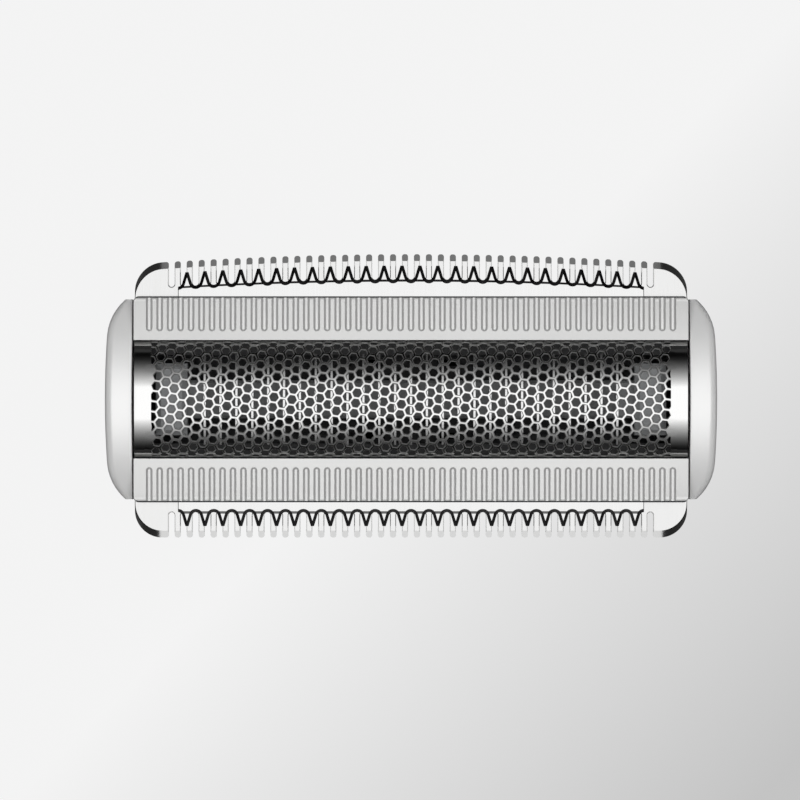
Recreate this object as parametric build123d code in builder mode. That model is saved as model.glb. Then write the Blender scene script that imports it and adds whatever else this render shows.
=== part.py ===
"""Foil shaver head: a floating mesh foil over an oscillating lamella cutter, between two ribbed
skin bars, with a toothed long-hair trimmer along each side and a cover on each end.

X runs along the foil, Y across it from the front trimmer to the rear one, Z up to the skin.
The origin is the middle of the base rim that sits on the shaver's neck. Millimetres.
"""

import os
from math import ceil, floor, hypot, radians, sin, sqrt

from build123d import *

# Head frame: neck socket, deck and walls
socket_depth = 8.5
deck_thickness = 1.5
waist_height = 9.0
wall = 1.3
frame_corner = 2.2
base_taper = 2.8
base_side_taper = 1.6
end_post_clearance = 0.1
latch_width = 8.0
latch_height = 2.2
latch_bottom = 2.8

# Drive bridge
stroke = 0.7
running_clearance = 0.05
bridge_length = 34.0
bridge_width = 6.4
bridge_thickness = 1.6
bridge_arm_width = 5.0
bridge_rib_length = 3.0
bridge_rib_depth = 1.2
bridge_rib_drop = 0.3
tongue_setback = 1.1
tongue_length = 1.6
tongue_width = 1.0
tongue_clearance = 0.02
fork_width = 7.0
fork_slot_width = 3.0
fork_slot_length = 5.0
fork_slot_depth = 2.4
fork_clearance = 0.3
guide_start = 6.0
guide_length = 9.0
guide_width = 0.9
guide_height = 1.8
guide_clearance = 0.1

# Cutter: carrier, lamellae and their spring
cutter_spring_height = 3.35
cutter_spring_length = 18.0
cutter_spring_width = 3.0
cutter_spring_thickness = 0.25
carrier_height = 5.8
carrier_core_width = 3.6
carrier_core_edge = 0.25
carrier_width = 6.8
carrier_block_length = 3.0
carrier_block_height = 2.8
carrier_block_edge = 0.5
carrier_end_clearance = 0.2
lamella_pitch = 1.502
lamella_thickness = 0.2
lamella_height = 4.98
lamella_width = 8.6
lamella_edge_height = 1.3
lamella_neck_height = 1.6
lamella_stem_width = 2.8
lamella_stem_depth = 1.8
slot_clearance = 0.01
drive_post_spacing = 28.0
drive_post_length = 3.0
drive_post_width = 2.0
drive_post_engagement = 2.0
drive_post_clearance = 0.05

# Foil, its floating frame and its springs
foil_thickness = 0.12
cutting_clearance = 0.1
foil_radius = 11.2
foil_half_width = 5.5
foil_shoulder = 1.3
foil_height = 7.1
foil_end_clearance = 0.1
foil_band = 1.7
mesh_half_width = 5.0
mesh_pitch = 3.28
mesh_web = 0.75
foil_travel = 1.2
foil_fit = 0.02
frame_rail_width = 1.15
frame_rail_height = 4.0
frame_foot = 1.4
frame_end = 1.1
lug_spacing = 36.0
lug_length = 4.0
lug_reach = 0.6
lug_height = 0.85
foil_spring_height = 2.0
foil_spring_length = 10.0
foil_spring_width = 1.0
foil_spring_thickness = 0.2

# Skin bars
bar_length = 52.6
bar_width = 4.14
bar_side_clearance = 0.12
bar_drop = 1.25
bar_fall = 0.4
bar_thickness = 0.75
bar_corner = 0.5
bar_overhang = 0.16
bar_foot = 3.3
skirt_wall = 0.68
rib_pitch = 0.992
rib_width = 0.5
rib_height = 0.2
rib_setback = 0.85
rib_margin = 1.4
peg_width = 1.4
peg_length = 3.0
peg_clearance = 0.05

# Trimmers: comb with its guide tabs, moving blade and pressure spring
rear_crown = 0.95
front_crown = 0.0
crown_share = 0.69
comb_overhang = 3.36
comb_thickness = 0.5
comb_clearance = 0.1
comb_end = 3.1
comb_corner = 2.6
comb_bevel = 0.58
comb_bevel_depth = 0.42
bevel_margin = 0.05
tooth_pitch = 1.135
tooth_width = 0.58
tooth_length = 2.4
blade_clearance = 0.03
blade_thickness = 0.33
blade_strip_thickness = 0.12
blade_setback = 1.09
blade_tooth_length = 1.33
blade_pitch = 1.7
blade_tip_flat = 0.3
blade_root_flat = 0.36
blade_bevel = 0.25
blade_bevel_depth = 0.2
blade_back_clearance = 0.3
blade_room = 0.42
guide_tab_spacing = 28.0
guide_tab_length = 2.0
guide_tab_width = 0.6
blade_spring_length = 24.0
blade_spring_width = 0.9
blade_spring_setback = 0.35
blade_spring_thickness = 0.12

# End covers
cover_gap = 0.12
cover_reach = 2.58
cover_crown = 0.18
cover_crown_width = 12.0
cover_side = 0.66
cover_setback = 0.28
cover_drop = 0.7
cover_fall = 2.7
cover_top_edge = 0.6
cover_bottom_edge = 0.5
cover_waist_gap = 0.2
cover_wall = 1.1
cover_tab_width = 1.6
cover_tab_height = 3.0
cover_tab_length = 2.3
cover_tab_rise = 4.0

# Heights that follow from the stack
deck_top = socket_depth + deck_thickness
bridge_bottom = deck_top + running_clearance
bridge_top = bridge_bottom + bridge_thickness
carrier_bottom = bridge_top + cutter_spring_height
carrier_top = carrier_bottom + carrier_height
lamella_top = carrier_top + lamella_height
foil_top = lamella_top + cutting_clearance + foil_thickness
foil_axis_z = foil_top - foil_radius
foil_bottom = foil_top - foil_height
frame_bottom = foil_bottom - frame_foot
lug_top = frame_bottom + lug_height
skirt_bottom = lug_top + running_clearance
end_wall_top = frame_bottom - foil_spring_height
bar_top = foil_top - bar_drop
bar_underside = bar_top - bar_fall - bar_thickness
strip_top = bar_underside - blade_room
blade_top = strip_top - blade_strip_thickness
blade_bottom = blade_top - blade_thickness
comb_top = blade_bottom - blade_clearance
ledge_top = comb_top - comb_thickness
cover_bottom = waist_height + cover_waist_gap
cover_tab_z = cover_bottom + cover_tab_rise
cover_top = foil_top - cover_drop

# Places along X
bar_half = bar_length / 2
foil_length = bar_length - 2 * foil_end_clearance
mesh_length = foil_length - 2 * foil_band
frame_end_inner = foil_length / 2 - frame_end
carrier_half = frame_end_inner - stroke - carrier_end_clearance
carrier_block_inner = carrier_half - carrier_block_length
lamella_side_count = floor((carrier_block_inner - lamella_thickness) / lamella_pitch)
comb_half = bar_half - foil_end_clearance
slot_width = tooth_pitch - tooth_width
slot_side_count = floor((comb_half - comb_end - slot_width / 2) / tooth_pitch)
blade_side_count = floor((bar_half - bar_foot - stroke) / blade_pitch)
blade_half = blade_side_count * blade_pitch
bar_foot_inner = blade_half + stroke + guide_clearance
rib_count = floor((bar_length - 2 * rib_margin) / rib_pitch) + 1
peg_x = (bar_foot_inner + bar_half) / 2
cover_face = bar_half + cover_gap

# Places along Y, on the +Y side
bar_inner = foil_half_width + bar_side_clearance
skirt_outer = bar_inner + skirt_wall
bar_outer = bar_inner + bar_width
frame_half_width = bar_outer - bar_overhang
comb_back = skirt_outer + comb_clearance
post_inner = skirt_outer + end_post_clearance
peg_y = (post_inner + frame_half_width) / 2
tongue_y = skirt_outer + tongue_setback
comb_tip = bar_outer + comb_overhang
tooth_root = comb_tip - tooth_length
blade_back = skirt_outer + blade_back_clearance
blade_tip = comb_tip - blade_setback
blade_root = blade_tip - blade_tooth_length
strip_front = blade_root - blade_bevel
cover_half_width = bar_outer - cover_setback

os.makedirs("parts", exist_ok=True)


def save(part, name):
    part.label = name
    export_step(part, f"parts/{name}.step")


def foil_section(x, inset, bottom):
    """Section across the foil at x: its outer form taken in by inset, closed at the bottom."""
    half = foil_half_width - inset
    radius = foil_radius - inset
    edge_z = foil_axis_z + sqrt(radius**2 - half**2)
    with BuildSketch(Plane.YZ.offset(x)) as section:
        with BuildLine():
            Polyline((-half, edge_z), (-half, bottom), (half, bottom), (half, edge_z))
            ThreePointArc((half, edge_z), (0, foil_axis_z + radius), (-half, edge_z))
        make_face()
        fillet(section.vertices().group_by(Axis.Y)[-1], foil_shoulder - inset)
    return section.sketch


def mesh_centres():
    """Centres of the foil's hexagonal holes: columns across the foil, every second one shifted by half."""
    column_spacing = mesh_pitch * sin(radians(60))
    side_columns = floor((mesh_length - mesh_pitch) / 2 / column_spacing)
    side_rows = ceil(mesh_half_width / mesh_pitch)
    centres = []
    for column in range(-side_columns, side_columns + 1):
        for row in range(-side_rows, side_rows + 1):
            y = (row + column % 2 / 2) * mesh_pitch
            if abs(y) <= mesh_half_width - mesh_pitch / 2:
                centres.append((column * column_spacing, y))
    return centres


def leaf_section(plane, length, low, high, thickness):
    """Section of a bent leaf spring: two straight legs with ends at low and the bend at high."""
    with BuildSketch(plane) as section:
        with BuildLine():
            Polyline(
                (-length / 2, low),
                (0, high - thickness),
                (length / 2, low),
                (length / 2, low + thickness),
                (0, high),
                (-length / 2, low + thickness),
                close=True,
            )
        make_face()
    return section.sketch


def crown_rise(x, crown):
    """How far a crowned trimmer stands beyond a straight one at x, behind it near the ends."""
    return crown * (crown_share - (x / comb_half) ** 2)


# Foil: a thin arched sheet with hanging skirts, pierced by hexagons
with BuildPart() as foil:
    extrude(foil_section(-foil_length / 2, 0, foil_bottom), amount=foil_length)
    extrude(
        foil_section(-foil_length / 2, foil_thickness, foil_bottom),
        amount=foil_length,
        mode=Mode.SUBTRACT,
    )
    with BuildSketch(Plane.XY.offset(foil_axis_z)):
        with Locations(*mesh_centres()):
            RegularPolygon((mesh_pitch - mesh_web) / 2, 6, major_radius=False)
    extrude(amount=foil_radius, mode=Mode.SUBTRACT)
save(foil.part, "foil")

# Foil frame: two rails between arched end plates, with lugs that catch under the skin bars
rail_outer = foil_half_width - foil_thickness - foil_fit
with BuildPart() as foil_frame:
    for start in (-foil_length / 2, frame_end_inner):
        extrude(foil_section(start, foil_thickness + foil_fit, frame_bottom), amount=frame_end)
    with BuildSketch(Plane.XY.offset(frame_bottom)):
        Rectangle(foil_length, 2 * rail_outer)
        Rectangle(foil_length, 2 * (rail_outer - frame_rail_width), mode=Mode.SUBTRACT)
    extrude(amount=frame_rail_height)
    with BuildSketch(Plane.XY.offset(frame_bottom)):
        with GridLocations(lug_spacing, 2 * rail_outer, 2, 2):
            Rectangle(lug_length, 2 * lug_reach)
    extrude(amount=lug_height)
save(foil_frame.part, "foil_frame")

# Foil springs: bent leaves between the head frame's end walls and the foil frame
foil_spring_x = bar_half - wall / 2
for side, x in (("left", -foil_spring_x), ("right", foil_spring_x)):
    foil_leaf = leaf_section(
        Plane.YZ.offset(x - foil_spring_width / 2),
        foil_spring_length,
        end_wall_top,
        frame_bottom - running_clearance,
        foil_spring_thickness,
    )
    with BuildPart() as foil_spring:
        extrude(foil_leaf, amount=foil_spring_width)
    save(foil_spring.part, f"{side}_foil_spring")

# Cutter carrier: a slotted core with a wider and taller block at each end, sliding on the drive posts
with BuildPart() as cutter_carrier:
    with BuildSketch(Plane.XY.offset(carrier_bottom)):
        Rectangle(2 * carrier_half, carrier_core_width)
    extrude(amount=carrier_height)
    chamfer(cutter_carrier.faces().sort_by(Axis.Z)[-1].edges().filter_by(Axis.X), carrier_core_edge)
    with BuildSketch(Plane.XY.offset(carrier_bottom)):
        with GridLocations(2 * carrier_half - carrier_block_length, 0, 2, 1):
            Rectangle(carrier_block_length, carrier_width)
    extrude(amount=carrier_height + carrier_block_height)
    chamfer(cutter_carrier.faces().sort_by(Axis.Z)[-2:].edges(), carrier_block_edge)
    with BuildSketch(Plane.XY.offset(carrier_top)):
        with GridLocations(lamella_pitch, 0, 2 * lamella_side_count + 1, 1):
            Rectangle(lamella_thickness + 2 * slot_clearance, lamella_stem_width + 2 * slot_clearance)
    extrude(amount=-lamella_stem_depth, mode=Mode.SUBTRACT)
    with BuildSketch(Plane.XY.offset(carrier_bottom)):
        with GridLocations(drive_post_spacing, 0, 2, 1):
            Rectangle(
                drive_post_length + 2 * drive_post_clearance,
                drive_post_width + 2 * drive_post_clearance,
            )
    extrude(amount=drive_post_engagement + 2 * foil_travel, mode=Mode.SUBTRACT)
save(cutter_carrier.part, "cutter_carrier")

# Cutter lamellae: thin arched blades whose edges run just under the foil
lamella_radius = foil_radius - foil_thickness - cutting_clearance
lamella_edge_z = foil_axis_z + sqrt(lamella_radius**2 - (lamella_width / 2) ** 2)
lamella_neck_top = lamella_edge_z - lamella_edge_height
lamella_neck_bottom = lamella_neck_top - lamella_neck_height
for index in range(-lamella_side_count, lamella_side_count + 1):
    lamella_plane = Plane.YZ.offset(index * lamella_pitch - lamella_thickness / 2)
    with BuildPart() as lamella:
        with BuildSketch(lamella_plane):
            with BuildLine():
                flank = Polyline(
                    (lamella_width / 2, lamella_edge_z),
                    (lamella_width / 2, lamella_neck_top),
                    (lamella_stem_width / 2, lamella_neck_bottom),
                    (lamella_stem_width / 2, carrier_top - lamella_stem_depth),
                    (0, carrier_top - lamella_stem_depth),
                )
                ThreePointArc(
                    (-lamella_width / 2, lamella_edge_z),
                    (0, lamella_top),
                    (lamella_width / 2, lamella_edge_z),
                )
                mirror(flank, about=Plane.YZ)
            make_face()
        extrude(amount=lamella_thickness)
    save(lamella.part, f"cutter_lamella_{index + lamella_side_count + 1:02d}")

# Cutter spring: a bent leaf between the drive bridge and the carrier
cutter_leaf = leaf_section(
    Plane.XZ.offset(-cutter_spring_width / 2),
    cutter_spring_length,
    bridge_top,
    carrier_bottom - running_clearance,
    cutter_spring_thickness,
)
with BuildPart() as cutter_spring:
    extrude(cutter_leaf, amount=cutter_spring_width)
save(cutter_spring.part, "cutter_spring")

# Drive bridge: a plate with the drive fork below, cutter posts above and an arm to each trimmer blade
arm_half = tongue_y + bridge_rib_depth / 2
fork_bottom = socket_depth + running_clearance
with BuildPart() as drive_bridge:
    with BuildSketch(Plane.XY.offset(bridge_bottom)):
        Rectangle(bridge_length, bridge_width)
        Rectangle(bridge_arm_width, 2 * arm_half)
    extrude(amount=bridge_thickness)
    with BuildSketch(Plane.XY.offset(bridge_bottom)):
        Rectangle(fork_width, fork_width)
    extrude(amount=fork_bottom - bridge_bottom)
    with BuildSketch(Plane.XY.offset(fork_bottom)):
        SlotOverall(fork_slot_length, fork_slot_width, rotation=90)
    extrude(amount=fork_slot_depth, mode=Mode.SUBTRACT)
    with BuildSketch(Plane.XY.offset(bridge_top)):
        with GridLocations(drive_post_spacing, 0, 2, 1):
            Rectangle(drive_post_length, drive_post_width)
    extrude(amount=carrier_bottom + drive_post_engagement - bridge_top)
    with BuildSketch(Plane.XY.offset(bridge_top)):
        with GridLocations(0, 2 * tongue_y, 1, 2):
            Rectangle(bridge_rib_length, bridge_rib_depth)
    extrude(amount=ledge_top - bridge_rib_drop - bridge_top)
    with BuildSketch(Plane.XY.offset(ledge_top - bridge_rib_drop)):
        with GridLocations(0, 2 * tongue_y, 1, 2):
            Rectangle(tongue_length, tongue_width)
    extrude(amount=strip_top - ledge_top + bridge_rib_drop - running_clearance)
save(drive_bridge.part, "drive_bridge")


slot_xs = [index * tooth_pitch for index in range(-slot_side_count, slot_side_count + 1)]
gullet_xs = [index * blade_pitch for index in range(-blade_side_count, blade_side_count + 1)]


def trimmer_outline(z, half, back, front, crown, notch_xs):
    """Outline of a trimmer plate: its front is straight, or crowned in short runs from notch to notch."""
    front_xs = [half] + ([-x for x in notch_xs] if crown else []) + [-half]
    front_edge = [(x, front + crown_rise(x, crown)) for x in front_xs]
    with BuildSketch(Plane.XY.offset(z)) as outline:
        with BuildLine():
            Polyline((-half, back), (half, back), *front_edge, close=True)
        make_face()
    return outline.sketch


def comb_outline(z, growth, crown):
    """Outline of a comb before its teeth are cut, grown all round by growth."""
    plate = trimmer_outline(0, comb_half + growth, comb_back - growth, comb_tip + growth, crown, slot_xs)
    with BuildSketch(Plane.XY.offset(z)) as outline:
        add(plate)
        ends = outline.vertices().group_by(Axis.X)
        corners = [end.sort_by(Axis.Y)[-1] for end in (ends[0], ends[-1])]
        fillet(corners, comb_corner + growth)
    return outline.sketch


def trimmer_comb(crown):
    """Comb: a plate with long teeth, its front edge and corners bevelled on top."""
    slot_length = comb_tip - tooth_root + comb_bevel
    slot_y = tooth_root + slot_length / 2
    slot_places = [(x, slot_y + crown_rise(x, crown)) for x in slot_xs]
    bevel_bottom = comb_top - comb_bevel_depth
    with BuildPart() as bevel:
        plain_outline = comb_outline(ledge_top - bevel_margin, bevel_margin, crown)
        extrude(plain_outline, amount=bevel_bottom - ledge_top + bevel_margin)
        bevel_outline = comb_outline(bevel_bottom, bevel_margin, crown)
        slant = hypot(comb_bevel, comb_bevel_depth)
        extrude(bevel_outline, amount=slant, dir=(0, -comb_bevel, comb_bevel_depth))
    with BuildPart() as comb:
        with BuildSketch(Plane.XY.offset(ledge_top)):
            add(comb_outline(0, 0, crown))
            with Locations(*slot_places):
                Rectangle(slot_width, slot_length, mode=Mode.SUBTRACT)
            with GridLocations(2 * peg_x, 2 * peg_y, 2, 2):
                Rectangle(peg_width + 2 * peg_clearance, peg_width + 2 * peg_clearance, mode=Mode.SUBTRACT)
            with Locations((0, tongue_y)):
                Rectangle(
                    tongue_length + 2 * stroke + 2 * guide_clearance,
                    tongue_width + 2 * guide_clearance,
                    mode=Mode.SUBTRACT,
                )
        extrude(amount=comb_thickness)
        add(bevel.part, mode=Mode.INTERSECT)
        with BuildSketch(Plane.XY.offset(comb_top)):
            with Locations((0, tongue_y)):
                with GridLocations(guide_tab_spacing, 0, 2, 1):
                    Rectangle(guide_tab_length, guide_tab_width)
        extrude(amount=strip_top - comb_top - running_clearance)
    return comb.part


def gullet_section(z):
    """Outline of the gap between two blade teeth, its root at y = 0."""
    root = blade_root_flat / 2
    mouth = (blade_pitch - blade_tip_flat) / 2
    with BuildSketch(Plane.XY.offset(z)) as section:
        with BuildLine():
            flank = Polyline(
                (0, 0),
                (root, 0),
                (mouth, blade_tooth_length),
                (mouth, 2 * blade_tooth_length),
                (0, 2 * blade_tooth_length),
            )
            mirror(flank, about=Plane.YZ)
        make_face()
    return section.sketch


def trimmer_blade(crown):
    """Moving blade: triangular teeth with bevelled edges, and a thicker strip behind them."""
    gullet_places = [(x, blade_root + crown_rise(x, crown)) for x in gullet_xs]
    inner_xs = gullet_xs[1:-1]
    slant = hypot(blade_bevel, blade_bevel_depth)
    with BuildPart() as gullet:
        extrude(gullet_section(blade_bottom), amount=blade_thickness)
        for x, y in ((blade_bevel, 0), (-blade_bevel, 0), (0, -blade_bevel)):
            bevel_base = gullet_section(blade_top - blade_bevel_depth)
            extrude(bevel_base, amount=slant, dir=(x, y, blade_bevel_depth))
    with BuildPart() as blade:
        plate = trimmer_outline(blade_bottom, blade_half, blade_back, blade_tip, crown, inner_xs)
        extrude(plate, amount=blade_thickness)
        with Locations(*gullet_places):
            add(gullet.part, mode=Mode.SUBTRACT)
        back_strip = trimmer_outline(blade_top, blade_half, blade_back, strip_front, crown, inner_xs[::4])
        extrude(back_strip, amount=blade_strip_thickness)
        with BuildSketch(Plane.XY.offset(blade_bottom)):
            with Locations((0, tongue_y)):
                Rectangle(tongue_length + 2 * tongue_clearance, tongue_width + 2 * tongue_clearance)
                with GridLocations(guide_tab_spacing, 0, 2, 1):
                    Rectangle(
                        guide_tab_length + 2 * stroke + 2 * guide_clearance,
                        guide_tab_width + 2 * guide_clearance,
                    )
        extrude(amount=strip_top - blade_bottom, mode=Mode.SUBTRACT)
    return blade.part


# Trimmers: the rear one is crowned, the front one is straight
for side, crown in (("rear", rear_crown), ("front", front_crown)):
    comb = trimmer_comb(crown)
    blade = trimmer_blade(crown)
    if side == "front":
        comb = comb.mirror(Plane.XZ)
        blade = blade.mirror(Plane.XZ)
    save(comb, f"{side}_comb")
    save(blade, f"{side}_trimmer_blade")

# Blade springs: bent leaves under the skin bars that press each blade on its comb
blade_leaf = leaf_section(
    Plane.XZ.offset(-(bar_outer - blade_spring_setback)),
    blade_spring_length,
    bar_underside - running_clearance - blade_spring_thickness,
    strip_top + running_clearance + blade_spring_thickness,
    blade_spring_thickness,
)
with BuildPart() as blade_spring:
    extrude(blade_leaf, amount=blade_spring_width)
save(blade_spring.part, "rear_blade_spring")
save(blade_spring.part.mirror(Plane.XZ), "front_blade_spring")


def bar_section(x, rise):
    """Section across a skin bar's top, raised by rise: level at the foil and falling to the trimmer."""
    with BuildSketch(Plane.YZ.offset(x)) as section:
        outer_z = bar_top - bar_fall + rise
        inner_z = bar_top + rise
        with BuildLine():
            Polyline(
                (bar_inner, inner_z),
                (bar_inner, bar_underside),
                (bar_outer, bar_underside),
                (bar_outer, outer_z),
                close=True,
            )
        make_face()
    return section.sketch


# Skin bars: a ribbed top with a skirt beside the foil, standing on the comb with a foot at each end
rib_length = bar_width - rib_setback
with BuildPart() as skin_bar:
    with BuildSketch(Plane.XY.offset(bar_underside)):
        with Locations((0, bar_inner + rib_setback)):
            with GridLocations(rib_pitch, 0, rib_count, 1):
                Rectangle(rib_width, rib_length, align=(Align.CENTER, Align.MIN))
    extrude(amount=bar_top + rib_height - bar_underside)
    extrude(bar_section(-bar_half, rib_height), amount=bar_length, mode=Mode.INTERSECT)
    extrude(bar_section(-bar_half, 0), amount=bar_length)
    with BuildSketch(Plane.XY.offset(comb_top)):
        with GridLocations(bar_length - (bar_half - bar_foot_inner), 0, 2, 1):
            with Locations((0, skirt_outer)):
                Rectangle(
                    bar_half - bar_foot_inner,
                    bar_outer - skirt_outer,
                    align=(Align.CENTER, Align.MIN),
                )
    extrude(amount=bar_underside - comb_top)
    outer_edges = skin_bar.edges().filter_by(Axis.Z).group_by(Axis.Y)[-1].group_by(Axis.X)
    fillet(outer_edges[0] + outer_edges[-1], bar_corner)
    with BuildSketch(Plane.XY.offset(skirt_bottom)):
        with Locations((0, bar_inner)):
            Rectangle(bar_length, skirt_wall, align=(Align.CENTER, Align.MIN))
    extrude(amount=bar_underside - skirt_bottom)
    with BuildSketch(Plane.XY.offset(comb_top)):
        with GridLocations(2 * peg_x, 0, 2, 1):
            with Locations((0, peg_y)):
                Rectangle(peg_width, peg_width)
    extrude(amount=-peg_length)
save(skin_bar.part, "rear_skin_bar")
save(skin_bar.part.mirror(Plane.XZ), "front_skin_bar")

# End covers: D-shaped in plan, crowned on top, hollow behind, with two tabs into the head frame
crown_half = cover_crown_width / 2
crown_top_x = cover_face + cover_reach
crown_x = crown_top_x - cover_crown
side_x = cover_face + cover_side
with BuildPart() as end_cover:
    with BuildSketch(Plane.XY.offset(cover_bottom)):
        with BuildLine():
            crown_arc = ThreePointArc((crown_x, -crown_half), (crown_top_x, 0), (crown_x, crown_half))
            TangentArc(crown_arc @ 1, (side_x, cover_half_width), tangent=crown_arc % 1)
            Polyline(
                (side_x, cover_half_width),
                (cover_face, cover_half_width),
                (cover_face, -cover_half_width),
                (side_x, -cover_half_width),
            )
            TangentArc(crown_arc @ 0, (side_x, -cover_half_width), tangent=-(crown_arc % 0))
        make_face()
    extrude(amount=cover_top - cover_bottom)
    with BuildSketch(Plane.YZ.offset(cover_face)):
        with BuildLine():
            Polyline(
                (-cover_half_width, cover_top - cover_fall),
                (-cover_half_width, cover_bottom),
                (cover_half_width, cover_bottom),
                (cover_half_width, cover_top - cover_fall),
            )
            ThreePointArc(
                (-cover_half_width, cover_top - cover_fall),
                (0, cover_top),
                (cover_half_width, cover_top - cover_fall),
            )
        make_face()
    extrude(amount=cover_reach, mode=Mode.INTERSECT)
    outer_edges = end_cover.edges().filter_by(lambda e: e.center().X > side_x)
    chamfer(outer_edges.filter_by(lambda e: e.center().Z > cover_top - cover_fall), cover_top_edge)
    outer_edges = end_cover.edges().filter_by(lambda e: e.center().X > side_x)
    chamfer(outer_edges.group_by(Axis.Z)[0], cover_bottom_edge)
    with BuildSketch(Plane.YZ.offset(cover_face)):
        with Locations((0, (cover_bottom + cover_top - cover_fall) / 2)):
            Rectangle(cover_crown_width, cover_top - cover_fall - cover_bottom - 2 * cover_bottom_edge)
    extrude(amount=cover_reach - cover_crown - cover_wall, mode=Mode.SUBTRACT)
    with BuildSketch(Plane.YZ.offset(cover_face)):
        with Locations((0, cover_tab_z)):
            with GridLocations(2 * peg_y, 0, 2, 1):
                Rectangle(cover_tab_width, cover_tab_height)
    extrude(amount=-cover_gap - cover_tab_length)
save(end_cover.part, "right_end_cover")
save(end_cover.part.mirror(Plane.YZ), "left_end_cover")

# Head frame: a flared neck socket under a deck, walls that carry the combs, end posts for pegs and tabs
base_length = bar_length - 2 * base_taper
base_width = 2 * (frame_half_width - base_side_taper)
deck_share = socket_depth / waist_height
deck_length = base_length + 2 * base_taper * deck_share
deck_width = base_width + 2 * base_side_taper * deck_share
post_length = bar_half - bar_foot_inner
post_width = frame_half_width - post_inner
guide_spacing = bridge_width + 2 * guide_clearance + guide_width
with BuildPart() as head_frame:
    with BuildSketch(Plane.XY):
        RectangleRounded(base_length, base_width, frame_corner)
    with BuildSketch(Plane.XY.offset(waist_height)):
        RectangleRounded(bar_length, 2 * frame_half_width, frame_corner)
    loft()
    extrude(head_frame.faces().sort_by(Axis.Z)[-1], amount=ledge_top - waist_height)
    with BuildSketch(Plane.XY):
        Rectangle(base_length - 2 * wall, base_width - 2 * wall)
    with BuildSketch(Plane.XY.offset(socket_depth)):
        Rectangle(deck_length - 2 * wall, deck_width - 2 * wall)
    loft(mode=Mode.SUBTRACT)
    with BuildSketch(Plane.XY.offset(deck_top)):
        Rectangle(bar_length - 2 * wall, 2 * (frame_half_width - wall))
        with GridLocations(bar_length - post_length, 2 * frame_half_width - post_width, 2, 2):
            Rectangle(post_length, post_width, mode=Mode.SUBTRACT)
    extrude(amount=ledge_top - deck_top, mode=Mode.SUBTRACT)
    with BuildSketch(Plane.XY.offset(end_wall_top)):
        Rectangle(bar_length, 2 * post_inner)
    extrude(amount=ledge_top - end_wall_top, mode=Mode.SUBTRACT)
    with BuildSketch(Plane.XY.offset(socket_depth)):
        Rectangle(fork_width + 2 * stroke + 2 * fork_clearance, fork_width + 2 * fork_clearance)
    extrude(amount=deck_thickness, mode=Mode.SUBTRACT)
    with BuildSketch(Plane.XY.offset(deck_top)):
        with GridLocations(2 * guide_start + guide_length, guide_spacing, 2, 2):
            Rectangle(guide_length, guide_width)
    extrude(amount=guide_height)
    with BuildSketch(Plane.YZ.offset(-bar_half)):
        with Locations((0, latch_bottom + latch_height / 2)):
            Rectangle(latch_width, latch_height)
    extrude(amount=bar_length, mode=Mode.SUBTRACT)
    with BuildSketch(Plane.XY.offset(ledge_top)):
        with GridLocations(2 * peg_x, 2 * peg_y, 2, 2):
            Rectangle(peg_width + 2 * peg_clearance, peg_width + 2 * peg_clearance)
    extrude(amount=-peg_length, mode=Mode.SUBTRACT)
    for end in (-1, 1):
        with BuildSketch(Plane.YZ.offset(end * bar_half)):
            with Locations((0, cover_tab_z)):
                with GridLocations(2 * peg_y, 0, 2, 1):
                    Rectangle(cover_tab_width + 2 * peg_clearance, cover_tab_height + 2 * peg_clearance)
        extrude(amount=-end * (cover_tab_length + peg_clearance), mode=Mode.SUBTRACT)
save(head_frame.part, "head_frame")
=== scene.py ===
# Foil shaver head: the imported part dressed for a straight-down studio picture.
# The frame is in metres, X along the foil, Y towards the crowned trimmer, Z up to the skin.
import math

import bmesh
import bpy
from mathutils import Matrix, Vector


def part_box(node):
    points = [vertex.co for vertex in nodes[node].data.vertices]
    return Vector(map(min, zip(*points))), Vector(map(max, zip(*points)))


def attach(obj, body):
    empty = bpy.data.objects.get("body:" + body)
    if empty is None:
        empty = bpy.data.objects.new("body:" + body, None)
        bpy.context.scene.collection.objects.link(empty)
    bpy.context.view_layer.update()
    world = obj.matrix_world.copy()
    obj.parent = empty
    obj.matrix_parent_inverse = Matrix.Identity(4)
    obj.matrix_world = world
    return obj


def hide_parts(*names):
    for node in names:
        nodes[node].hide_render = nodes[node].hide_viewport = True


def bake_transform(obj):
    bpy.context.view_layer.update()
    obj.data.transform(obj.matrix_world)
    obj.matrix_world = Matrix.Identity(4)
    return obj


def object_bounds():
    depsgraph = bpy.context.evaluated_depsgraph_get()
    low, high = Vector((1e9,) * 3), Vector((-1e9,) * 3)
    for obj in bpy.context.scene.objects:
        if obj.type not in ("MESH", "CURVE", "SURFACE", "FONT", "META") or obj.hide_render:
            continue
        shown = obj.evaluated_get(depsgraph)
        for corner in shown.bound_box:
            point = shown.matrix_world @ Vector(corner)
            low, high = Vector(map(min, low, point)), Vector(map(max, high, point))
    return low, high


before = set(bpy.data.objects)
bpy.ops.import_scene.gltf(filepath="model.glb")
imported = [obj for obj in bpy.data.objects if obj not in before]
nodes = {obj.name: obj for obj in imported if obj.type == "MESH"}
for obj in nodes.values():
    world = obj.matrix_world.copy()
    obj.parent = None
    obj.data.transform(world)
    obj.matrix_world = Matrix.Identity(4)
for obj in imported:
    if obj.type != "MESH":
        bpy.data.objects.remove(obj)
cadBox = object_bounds()
mm = 0.001
print("frame loaded,", len(nodes), "nodes")


def toLinear(hexColour):  # sRGB hex to a shader's linear colour
    parts = [int(hexColour[i:i + 2], 16) / 255 for i in (1, 3, 5)]
    return tuple(c / 12.92 if c <= 0.04045 else ((c + 0.055) / 1.055) ** 2.4 for c in parts) + (1.0,)


def addNode(tree, kind, links=None, **settings):
    node = tree.nodes.new(kind)
    for name, value in settings.items():
        setattr(node, name, value)
    for socket, value in (links or {}).items():
        if isinstance(value, bpy.types.NodeSocket):
            tree.links.new(value, node.inputs[socket])
        else:
            node.inputs[socket].default_value = value
    return node


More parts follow.
